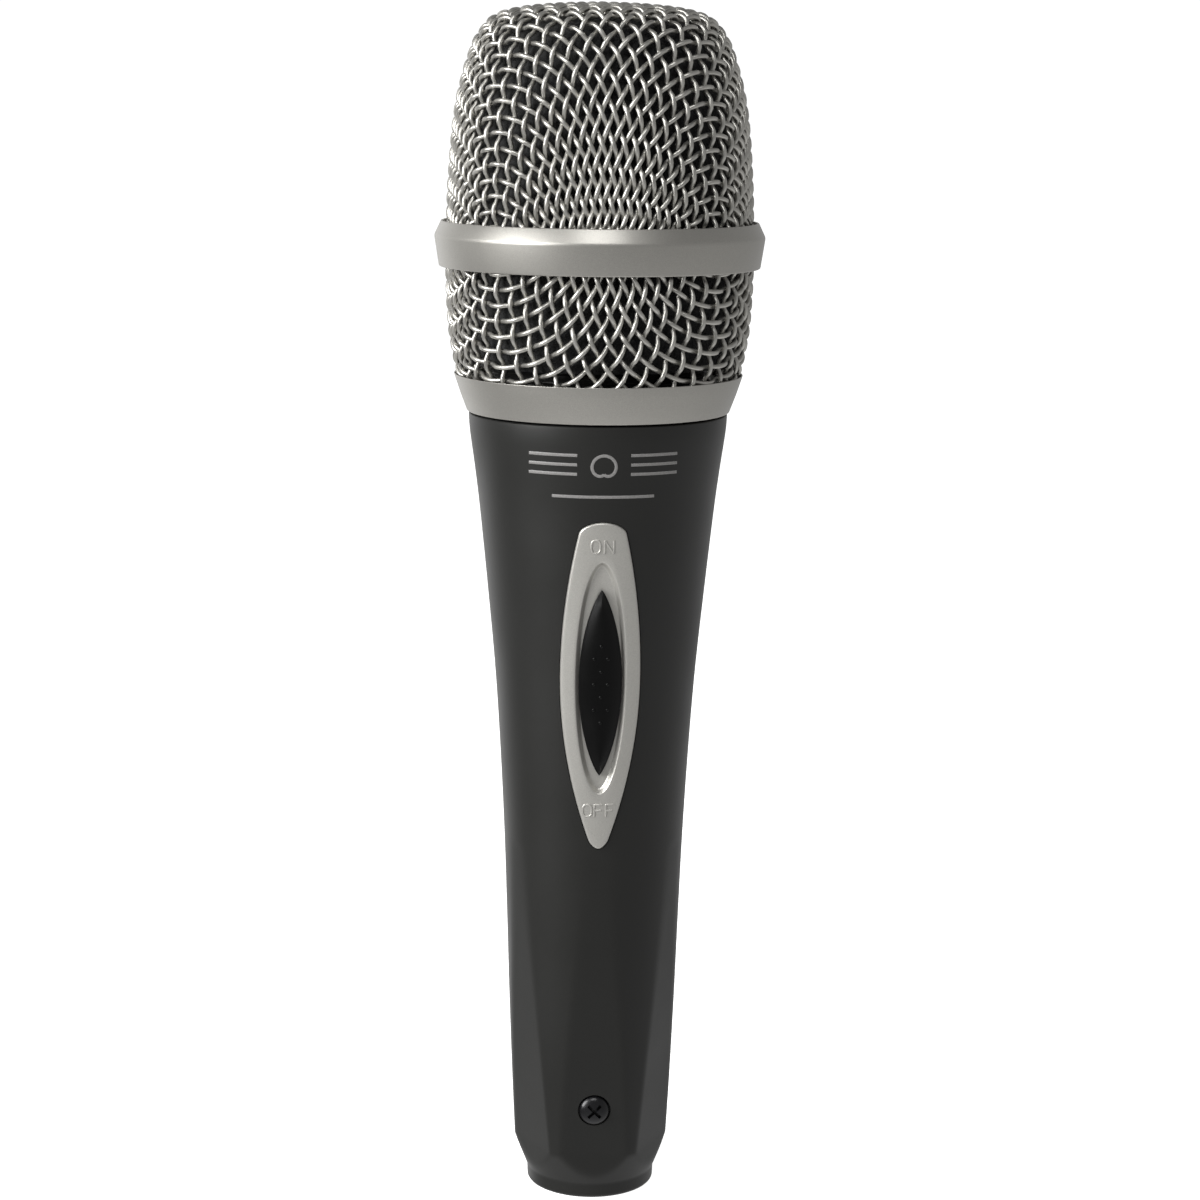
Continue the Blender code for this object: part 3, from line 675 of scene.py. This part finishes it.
PLATE_LOOP = leaf_loop(PLATE_FOOT, PLATE_TOP, plate_half_width)
RECESS_LOOP = leaf_loop(RECESS_FOOT, RECESS_TOP,
                        lambda z: oval_half_width(z, RECESS_FOOT, RECESS_TOP, RECESS_HALF_WIDTH, 0.5))
KNOB_LOOP = leaf_loop(KNOB_FOOT, KNOB_TOP,
                      lambda z: oval_half_width(z, KNOB_FOOT, KNOB_TOP, KNOB_HALF_WIDTH, 0.8))
SLOT_LOOP = leaf_loop(SLOT_FOOT, SLOT_TOP,
                      lambda z: oval_half_width(z, SLOT_FOOT, SLOT_TOP, SLOT_HALF_WIDTH, 0.2))


def leaf_tool(loop, front, back):
    """Closed cutter of a leaf outline, between two distances from the handle's surface."""
    tool = loops_body("tool", [(spine(loop), front), (loop, front), (loop, back), (spine(loop), back)],
                      charcoal, None, closed=False)
    mesh = tool.data
    bpy.data.objects.remove(tool)
    return mesh


def make_plate():
    edge, slope = 0.35, 0.75
    rim = inset_loop(PLATE_LOOP, edge)
    lip = inset_loop(RECESS_LOOP, -0.15)
    foot = inset_loop(RECESS_LOOP, slope)
    loops = [(PLATE_LOOP, -PLATE_SINK), (PLATE_LOOP, PLATE_PROUD - edge)]
    for t in np.linspace(0.0, math.pi / 2, 6)[1:]:
        loops.append((inset_loop(PLATE_LOOP, edge * (1 - math.cos(t))),
                      PLATE_PROUD - edge * (1 - math.sin(t))))
    loops += [(mix(rim, lip, t), PLATE_PROUD) for t in (0.2, 0.4, 0.6, 0.8, 1.0)]
    drop = PLATE_PROUD + RECESS_SINK
    for t in np.linspace(0.0, 1.0, 9)[1:]:
        ease = t * t * (3 - 2 * t)
        loops.append((mix(lip, foot, t), PLATE_PROUD - drop * ease))
    loops += [(mix(foot, SLOT_LOOP, t), -RECESS_SINK) for t in (0.25, 0.5, 0.75, 1.0)]
    loops += [(mix(SLOT_LOOP, PLATE_LOOP, t), -PLATE_SINK) for t in (0.0, 0.33, 0.66)]
    piece = loops_body("switch_bezel", loops, plate_silver, "handle", closed=True)
    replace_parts(piece, "switch_plate")


def bead(path, base, half_width, height, closed=False, sides=10):
    """Raised stroke along a path of (x, z) points on the handle's front."""
    path = np.array(path, float)
    if closed:
        path = np.vstack([path, path[:1]])
    steps = np.linalg.norm(np.diff(path, axis=0), axis=1)
    run = np.concatenate([[0.0], np.cumsum(steps)])
    places = np.linspace(0.0, run[-1], max(int(run[-1] / 0.12), 3) + 1)
    line = np.stack([np.interp(places, run, path[:, k]) for k in (0, 1)], axis=1)
    if closed:
        line = line[:-1]
        along = np.roll(line, -1, axis=0) - np.roll(line, 1, axis=0)
    else:
        along = np.gradient(line, axis=0)
    along /= np.linalg.norm(along, axis=1)[:, None]
    across = np.stack([-along[:, 1], along[:, 0]], axis=1)
    vertices = []
    for here, side in zip(line, across):
        for k in range(sides):
            angle = 2 * math.pi * k / sides
            x, z = here + side * half_width * math.cos(angle)
            vertices.append(on_front(x, z, base + height * math.sin(angle)))
    faces = grid_faces(len(line), sides, wrap_rows=closed)
    if not closed:
        last = (len(line) - 1) * sides
        faces += [tuple(range(sides))[::-1], tuple(range(last, last + sides))]
    return vertices, faces


def joined(name, parts, look, body, sharp_degrees=50.0):
    """One piece from several closed (vertices, faces) parts."""
    vertices, faces = [], []
    for part_vertices, part_faces in parts:
        offset = len(vertices)
        vertices.extend(part_vertices)
        faces.extend(tuple(offset + k for k in face) for face in part_faces)
    return make_object(name, vertices, faces, look, body, sharp_degrees)


def letter_strokes(letter):
    """Strokes of a one-unit-high letter and whether each is closed."""
    round_o = [(0.5 + 0.36 * math.copysign(abs(math.cos(a)) ** 0.7, math.cos(a)),
                0.5 + 0.5 * math.copysign(abs(math.sin(a)) ** 0.8, math.sin(a)))
               for a in np.linspace(0, 2 * math.pi, 32, endpoint=False)]
    return {"O": [(round_o, True)],
            "N": [([(0.12, 0.0), (0.12, 1.0), (0.84, 0.0), (0.84, 1.0)], False)],
            "F": [([(0.15, 0.0), (0.15, 1.0), (0.75, 1.0)], False),
                  ([(0.15, 0.52), (0.66, 0.52)], False)]}[letter]


def make_word(name, word, height, middle, letter_step):
    parts = []
    size = 2.0
    left = -letter_step * len(word) / 2
    for k, letter in enumerate(word):
        for path, closed in letter_strokes(letter):
            places = [(left + k * letter_step + (x - 0.5) * size + letter_step / 2,
                       middle + (z - 0.5) * height) for x, z in path]
            parts.append(bead(places, PLATE_PROUD, 0.17, 0.13, closed))
    joined(name, parts, plate_silver, "handle")


def make_knob():
    side, edge = 0.25, 0.18
    loops = [(spine(KNOB_LOOP), -KNOB_SINK), (KNOB_LOOP, -KNOB_SINK), (KNOB_LOOP, side - edge)]
    for t in np.linspace(0.0, math.pi / 2, 5)[1:]:
        loops.append((inset_loop(KNOB_LOOP, edge * (1 - math.cos(t))), side - edge * (1 - math.sin(t))))
    shoulder = inset_loop(KNOB_LOOP, edge)
    for t in np.linspace(0.0, 1.0, 12)[1:]:
        loops.append((mix(shoulder, spine(KNOB_LOOP), t), side + (KNOB_PROUD - side) * (1 - (1 - t) ** 2)))
    piece = loops_body("thumb_slide", loops, knob_black, "switch", closed=False)
    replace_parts(piece, "switch_knob")

    parts = []
    for row in range(7):
        z = (KNOB_FOOT + KNOB_TOP) / 2 + (row - 3) * 2.1
        for x in ((0.0,) if row % 2 == 0 else (-1.1, 1.1)):
            parts.append(dome_dot(x, z, knob_height(x, z), 0.3, 0.22))
    joined("thumb_slide_dots", parts, knob_black, "switch")


def knob_height(x, z):
    """Height of the knob's crown above the handle's surface."""
    share = abs(x) / oval_half_width(z, KNOB_FOOT, KNOB_TOP, KNOB_HALF_WIDTH, 0.8)
    return 0.25 + (KNOB_PROUD - 0.25) * (1 - share ** 2)


def dome_dot(x, z, base, radius, height, sides=12, rings=4):
    vertices = [on_front(x, z, base - 0.15)]
    for ring in range(rings + 1):
        tilt = math.pi / 2 * ring / (rings + 1)
        for k in range(sides):
            angle = 2 * math.pi * k / sides
            reach = radius * math.cos(tilt)
            vertices.append(on_front(x + reach * math.cos(angle), z + reach * math.sin(angle),
                                     base - 0.05 + height * math.sin(tilt)))
    vertices.append(on_front(x, z, base - 0.05 + height))
    faces = [(0, 1 + (k + 1) % sides, 1 + k) for k in range(sides)]
    faces += grid_faces(rings + 1, sides, offset=1)
    top, last = len(vertices) - 1, 1 + rings * sides
    faces += [(top, last + k, last + (k + 1) % sides) for k in range(sides)]
    return vertices, faces


# ------------------------------------------------------------------ handle
def handle_rows():
    """Rows of (height, radius) round the handle's closed section, and where its thread lies."""
    edge = [(TAIL_EDGE * (1 - math.sin(t)), TAIL_RADIUS - TAIL_EDGE * (1 - math.cos(t)))
            for t in np.linspace(math.pi / 2, 0.0, 6)]
    rows = [(0.0, SOCKET_BORE)] + edge + [(2.2, TAIL_RADIUS + 0.05), (2.6, TAIL_RADIUS + 0.12)]
    rows += [(z, TAIL_RADIUS + 0.2 + (z - 2.8) / 4.9 * 1.95) for z in np.linspace(2.8, 7.7, 8)]
    rows += [(z, float(handle_radius(z))) for z in np.linspace(8.1, 130.0, 190)]
    rows += [(130.25, 20.87), (130.36, 20.75), (130.4, 20.5), (130.4, 19.0), (130.4, 17.9), (130.6, 17.7)]
    rows += [(z, NECK_RADIUS) for z in np.linspace(130.8, NECK_TOP - 0.7, 84)]
    rows += [(NECK_TOP - 0.35, NECK_RADIUS - 0.35), (NECK_TOP, NECK_RADIUS - 0.8), (NECK_TOP, NECK_BORE)]
    rows += [(z, min(float(handle_radius(z)) - WALL, NECK_BORE))
             for z in np.linspace(NECK_TOP - 2, 24.0, 24)]
    return rows + [(SOCKET_DEPTH, SOCKET_BORE)]


def thread_depth(z, angle):
    """Depth of the neck's thread: one millimetre lead, running out at both ends."""
    low, high, lead, depth = 132.0, NECK_TOP - 1.0, 1.0, 0.42
    inside = np.clip(min((z - low), (high - z)) / 0.8, 0.0, 1.0)
    phase = (z / lead - angle / (2 * math.pi)) % 1.0
    return depth * inside * (1.0 - abs(2.0 * phase - 1.0))


def make_handle():
    columns = 240
    vertices = []
    rows = handle_rows()
    for z, radius in rows:
        for k in range(columns):
            angle = 2 * math.pi * k / columns
            here = radius
            if z < FLATS_TOP:
                turn = (angle + math.pi / 2) % math.radians(60.0)
                local = min(turn, math.radians(60.0) - turn)
                here = float(smooth_min(here, flat_distance(z) / math.cos(local), 0.22))
            elif radius == NECK_RADIUS:
                here -= thread_depth(z, angle)
            vertices.append((here * math.cos(angle), here * math.sin(angle), z))
    piece = make_object("handle_casting", vertices, grid_faces(len(rows), columns, wrap_rows=True), charcoal,
                        "handle", 32.0)
    seat = -float(flat_distance(SCREW_HEIGHT))
    hole = ((0.0, -20.0), (SCREW_HEAD + 0.25, -20.0), (SCREW_HEAD + 0.25, seat + 0.9), (1.6, seat + 0.9),
            (1.6, -7.0), (0.0, -7.0))
    carve(piece, [leaf_tool(inset_loop(PLATE_LOOP, -0.12), 3.0, -PLATE_SINK - 0.12),
                  box_mesh((-4.2, -30.0, 75.0), (4.2, -8.0, 103.0)),
                  lathe_mesh("tool", hole, 48, along_y(0.0, SCREW_HEIGHT))])
    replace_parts(piece, "handle_shell")
    return piece


def make_screw():
    seat = -float(flat_distance(SCREW_HEIGHT)) + 0.6
    outline = [(0.0, seat - 1.55)]
    outline += [(SCREW_HEAD * math.sin(t), seat - 0.55 - 1.0 * math.cos(t))
                for t in np.linspace(0.15, math.pi / 2, 9)]
    outline += [(SCREW_HEAD, seat), (1.3, seat), (1.3, -5.9), (0.9, -5.4), (0.0, -5.4)]
    piece = lathe("cross_head_screw", outline, 64, black_steel, "handle", along_y(0.0, SCREW_HEIGHT))
    tools = []
    for turn in (45.0, 135.0):
        place = (Matrix.Translation((0.0, 0.0, SCREW_HEIGHT * MM))
                 @ Matrix.Rotation(math.radians(turn), 4, "Y"))
        tools.append(box_mesh((-1.45, seat - 3.0, -0.26), (1.45, seat - 0.55, 0.26), place))
    carve(piece, tools)
    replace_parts(piece, "insert_screw")


def make_print():
    """Plain printed marks: a heart-shaped pickup pattern between two bars, over a thin line."""
    parts = []
    stroke, lift = 0.24, 0.02
    size, foot = 1.45, 122.6
    heart = [(size * (1 + math.cos(t)) * math.sin(t), foot + 0.4 + size * (1 + math.cos(t)) * math.cos(t))
             for t in np.linspace(-2.9, 2.9, 60)]
    parts.append(bead(heart, lift, stroke, 0.035))
    for side in (-1, 1):
        for z in (122.9, 124.4, 125.9):
            parts.append(bead([(side * 4.2, z), (side * 11.6, z)], lift, stroke, 0.035))
    parts.append(bead([(-8.0, 119.3), (8.0, 119.3)], lift, stroke, 0.035))
    joined("printed_marks", parts, ink, "handle")


make_handle()
make_plate()
make_word("plate_word_on", "ON", 2.1, 111.35, 2.15)
make_word("plate_word_off", "OFF", 2.0, 67.9, 1.85)
make_knob()
make_screw()
make_print()


# ------------------------------------------------------------------ tail socket
INSERT_OUTLINE = ((8.7, 1.0), (9.2, 1.0), (9.2, 19.5), (0.0, 19.5), (0.0, 12.5), (8.2, 12.5), (8.2, 6.5),
                  (8.6, 6.3), (8.6, 4.6), (8.2, 4.4), (8.2, 1.5))
INSERT_ROUNDING = (0.2, 0.15, 0, 0, 0, 0.4, 0.1, 0.1, 0.1, 0.1, 0.3)
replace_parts(lathe("socket_insert", rounded(INSERT_OUTLINE, INSERT_ROUNDING), 128, black_plastic, "handle"),
            "xlr_insert")
PIN_RADIUS, PIN_TIP = 1.2, 3.0
for pin_number in (1, 2, 3):
    pin_low, pin_high = span("xlr_pin_%d" % pin_number)
    pin_x, pin_y = (pin_low[:2] + pin_high[:2]) / 2
    pin_outline = [(0.0, PIN_TIP)]
    pin_outline += [(PIN_RADIUS * math.sin(t), PIN_TIP + PIN_RADIUS - PIN_RADIUS * math.cos(t))
                    for t in np.linspace(0.2, 1.57, 8)]
    pin_outline += [(PIN_RADIUS, 24.0), (0.75, 24.0), (0.75, 21.0), (0.0, 21.0)]
    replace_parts(lathe("contact_pin_%d" % pin_number, pin_outline, 32, nickel, "handle",
                      Matrix.Translation((pin_x * MM, pin_y * MM, 0.0))), "xlr_pin_%d" % pin_number)


# ------------------------------------------------------------------ capsule
HOUSING_OUTLINE = ((3.4, 126.5), (9.8, 126.5), (9.8, 147.5), (14.2, 149.5), (15.2, 151.0), (15.2, 163.4),
                   (14.0, 163.4), (14.0, 151.6), (8.6, 149.4), (8.6, 127.9), (3.4, 127.9))
MOUNT_OUTLINE = ((10.1, 131.0), (15.1, 131.0), (15.1, 141.1), (17.3, 141.1), (17.3, 143.4), (15.6, 144.6),
                 (14.6, 144.6), (13.9, 143.3), (12.6, 143.3), (11.9, 144.6), (11.0, 144.6), (10.1, 143.4))
MOUNT_ROUNDING = (0, 0.4, 0.3, 0.5, 0.5, 0.5, 0.3, 0.3, 0.3, 0.3, 0.3)
GRID_OUTLINE = ((14.0, 163.7), (15.2, 163.7), (15.2, 168.2), (14.6, 168.8), (12.6, 168.8), (12.2, 168.4),
                (0.0, 168.4), (0.0, 167.6), (14.0, 167.6))


def make_capsule():
    housing = lathe("capsule_body", rounded(HOUSING_OUTLINE, (0, 0.4, 0.8, 0.8, 0.8, 0.2, 0.2)), 96,
                    black_plastic, "handle")
    ports = []
    for k in range(12):
        turn = Matrix.Rotation(2 * math.pi * k / 12, 4, "Z")
        ports.append(box_mesh((12.0, -1.1, 153.5), (17.0, 1.1, 156.5), turn))
    carve(housing, ports)
    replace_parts(housing, "capsule_housing")
    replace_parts(lathe("rubber_mount", rounded(MOUNT_OUTLINE, MOUNT_ROUNDING), 128, rubber, "handle"),
                "shock_mount")
    grid = lathe("capsule_grid", rounded(GRID_OUTLINE, (0, 0.15, 0.4, 0.4, 0.3, 0.2)), 128,
                 black_plastic, "handle")
    holes = []
    for count, radius, size in ((6, 4.2, 1.1), (12, 8.0, 1.2), (18, 11.0, 0.9)):
        for k in range(count):
            angle = 2 * math.pi * (k + 0.5) / count
            centre = Matrix.Translation((radius * math.cos(angle) * MM, radius * math.sin(angle) * MM, 0.0))
            drill = ((0.0, 166.0), (size, 166.0), (size, 170.0), (0.0, 170.0))
            holes.append(lathe_mesh("tool", drill, 20, centre))
    carve(grid, holes)
    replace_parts(grid, "front_grid")


make_capsule()


# ------------------------------------------------------------------ CAD pieces that keep their shape
KEPT_LOOKS = {"switch_slider": white_plastic, "switch_contact": brass, "switch_bracket": steel,
              "switch_case": steel, "switch_board": phenolic, "switch_terminal_1": brass,
              "switch_terminal_2": brass, "switch_terminal_3": brass,
              "switch_screw_lower": steel, "switch_screw_upper": steel,
              "capsule_frame": white_plastic, "diaphragm_ring": white_plastic, "rear_felt": felt,
              "yoke_cup": iron, "magnet": ferrite, "pole_plate": iron, "diaphragm": film,
              "voice_coil": copper, **lead_looks}
for node_name, node_look in KEPT_LOOKS.items():
    node_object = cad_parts[node_name]
    node_object.data.materials.clear()
    node_object.data.materials.append(node_look)


# ------------------------------------------------------------------ camera, light and floor
CAMERA_LENS, CAMERA_SENSOR = 84.0, 36.0
CAMERA_AZIMUTH, CAMERA_PITCH, CAMERA_ROLL = -3.1, 10.5, 0.64
CAMERA_DISTANCE, CAMERA_HEIGHT, CAMERA_ASIDE = 451.0, 183.0, 0.67


def make_camera():
    azimuth, pitch = math.radians(CAMERA_AZIMUTH), math.radians(CAMERA_PITCH)
    right = Vector((math.cos(azimuth), math.sin(azimuth), 0.0))
    back = Vector((math.sin(azimuth) * math.cos(pitch), -math.cos(azimuth) * math.cos(pitch),
                   math.sin(pitch)))
    up = back.cross(right)
    place = Vector((math.sin(azimuth) * CAMERA_DISTANCE, -math.cos(azimuth) * CAMERA_DISTANCE,
                    CAMERA_HEIGHT))
    place += right * CAMERA_ASIDE
    data = bpy.data.cameras.new("camera")
    data.sensor_width = CAMERA_SENSOR
    data.lens = CAMERA_LENS
    data.clip_start = 0.01
    camera = bpy.data.objects.new("camera", data)
    axes = Matrix((right, up, back)).transposed().to_4x4()
    camera.matrix_world = (Matrix.Translation(place * MM) @ axes
                           @ Matrix.Rotation(math.radians(CAMERA_ROLL), 4, "Z"))
    bpy.context.scene.collection.objects.link(camera)
    bpy.context.scene.camera = camera


def towards(azimuth, elevation):
    """Unit vector from the microphone; azimuth 0 is in front, 90 on its right."""
    a, e = math.radians(azimuth), math.radians(elevation)
    return Vector((math.sin(a) * math.cos(e), -math.cos(a) * math.cos(e), math.sin(e)))


def make_softbox(name, azimuth, elevation, distance, size, power):
    """Square softbox aimed at the middle of the microphone."""
    data = bpy.data.lights.new(name, "AREA")
    data.shape = "SQUARE"
    data.size = size
    data.energy = power
    light = bpy.data.objects.new(name, data)
    light.location = Vector((0.0, 0.0, 0.13)) + distance * towards(azimuth, elevation)
    light.rotation_euler = towards(azimuth, elevation).to_track_quat("Z", "Y").to_euler()
    bpy.context.scene.collection.objects.link(light)


BACKDROP_WHITE, FLOOR_GLOW, FLOOR_REACH = 1.05, 0.95, 12.0
# Soft glow of the studio: azimuth and elevation it comes from, how narrow it is, and its strength.
STUDIO_GLOW = ((180.0, 0.0, 2.0, 0.5), (0.0, -90.0, 2.0, 1.25), (0.0, 0.0, 2.0, 0.25),
               (90.0, 0.0, 2.0, 0.5), (-145.0, 0.0, 8.0, 1.0))


def make_world():
    """Dim studio with a soft glow from some sides, in front of a white backdrop."""
    world = bpy.data.worlds.new("studio")
    bpy.context.scene.world = world
    world.use_nodes = True
    tree = world.node_tree
    place = tree.nodes.new("ShaderNodeTexCoord").outputs["Generated"]

    def math_node(operation, *values):
        node = tree.nodes.new("ShaderNodeMath")
        node.operation = operation
        for socket, value in zip(node.inputs, values):
            if isinstance(value, float):
                socket.default_value = value
            else:
                tree.links.new(value, socket)
        return node.outputs["Value"]

    total = 0.0
    for azimuth, elevation, narrowness, strength in STUDIO_GLOW:
        facing = tree.nodes.new("ShaderNodeVectorMath")
        facing.operation = "DOT_PRODUCT"
        facing.inputs[1].default_value = towards(azimuth, elevation)
        tree.links.new(place, facing.inputs[0])
        lobe = math_node("POWER", math_node("MAXIMUM", facing.outputs["Value"], 0.0), narrowness)
        total = math_node("MULTIPLY_ADD", lobe, strength, total)
    seen = tree.nodes.new("ShaderNodeLightPath").outputs["Is Camera Ray"]
    tree.links.new(math_node("MAXIMUM", total, math_node("MULTIPLY", seen, BACKDROP_WHITE)),
                   tree.nodes["Background"].inputs["Strength"])
    tree.nodes["Background"].inputs["Color"].default_value = (1.0, 1.0, 1.0, 1.0)


def make_floor():
    """White acrylic table lit from below: it shows only a faint shadow and throws no light up."""
    look, shader = new_look("pale_floor", (0.86, 0.86, 0.85), 0.8)
    n = Nodes(look)
    tone = n.blend_colours(n.noise(3.0, 3.0), (0.85, 0.85, 0.84), (0.88, 0.88, 0.87))
    n.link(tone, shader.inputs["Base Color"])
    shader.inputs["Emission Color"].default_value = (1.0, 1.0, 1.0, 1.0)
    shader.inputs["Emission Strength"].default_value = FLOOR_GLOW
    mesh = bpy.data.meshes.new("floor")
    corners = [(x * FLOOR_REACH, y * FLOOR_REACH, 0.0) for x, y in ((-1, -1), (1, -1), (1, 1), (-1, 1))]
    mesh.from_pydata(corners, [], [(0, 1, 2, 3)])
    mesh.materials.append(look)
    floor = bpy.data.objects.new("floor", mesh)
    floor.visible_diffuse = False
    floor.visible_glossy = False
    bpy.context.scene.collection.objects.link(floor)


make_world()
make_softbox("key_softbox", -4.0, 48.0, 1.1, 0.42, 4.0)
make_softbox("left_softbox", -62.0, 18.0, 1.2, 0.8, 25.0)
make_floor()
make_camera()
bpy.context.scene.view_settings.view_transform = "Standard"
